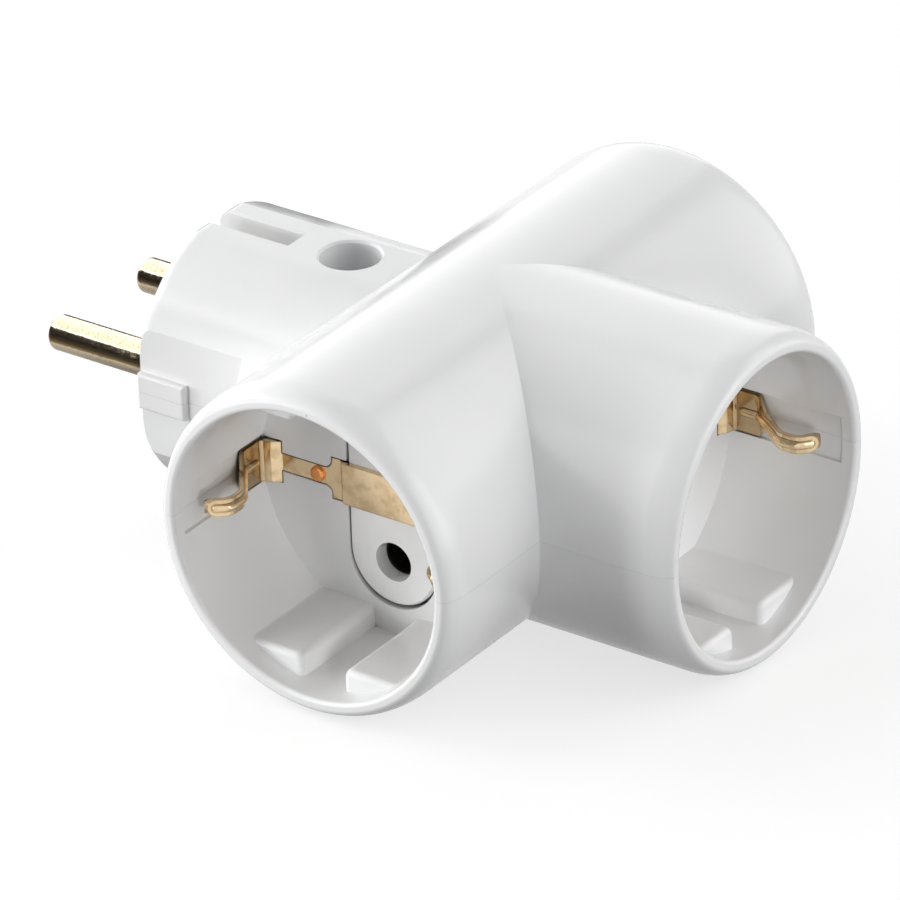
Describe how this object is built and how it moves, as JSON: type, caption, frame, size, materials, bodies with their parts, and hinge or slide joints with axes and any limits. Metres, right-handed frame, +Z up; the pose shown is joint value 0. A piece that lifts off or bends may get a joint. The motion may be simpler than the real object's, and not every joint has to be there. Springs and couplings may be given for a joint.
{
  "type": "multi socket adapter",
  "caption": "White T-shaped mains adapter with a round earthed plug at the rear and deep round sockets with side earth clips on its other arms.",
  "frame": {"origin": "centre of the plug's face, midway between the pins", "axes": "-X is the way the pins point, +X the way the front socket opens, -Y and +Y the ways the side sockets open, +Z up"},
  "size_m": [0.1044, 0.0832, 0.0448],
  "materials": {
    "housing_plastic": "glossy white moulding",
    "carrier_plastic": "smooth white moulding",
    "strip_brass": "rolled sheet, slightly dulled",
    "pin_metal": "turned and bright",
    "inner_brass": "plain sheet",
    "rivet_copper": "reddish and slightly dulled",
    "screw_steel": "zinc plated"
  },
  "bodies": {
    "root": {"upper_housing": "housing_plastic", "lower_housing": "housing_plastic", "right_carrier": "carrier_plastic", "left_carrier": "carrier_plastic", "front_carrier": "carrier_plastic", "right_earth_strip": "strip_brass", "left_earth_strip": "strip_brass", "front_earth_strip": "strip_brass", "live_pin": "pin_metal", "neutral_pin": "pin_metal", "live_busbar": "inner_brass", "neutral_busbar": "inner_brass", "earth_busbar": "inner_brass", "plug_earth_contact": "inner_brass", "pin_rivets": "rivet_copper", "earth_rivets": "rivet_copper", "housing_screw": "screw_steel", "right_live_contact": "inner_brass", "right_neutral_contact": "inner_brass", "left_live_contact": "inner_brass", "left_neutral_contact": "inner_brass", "front_live_contact": "inner_brass", "front_neutral_contact": "inner_brass"}
  },
  "joints": []
}
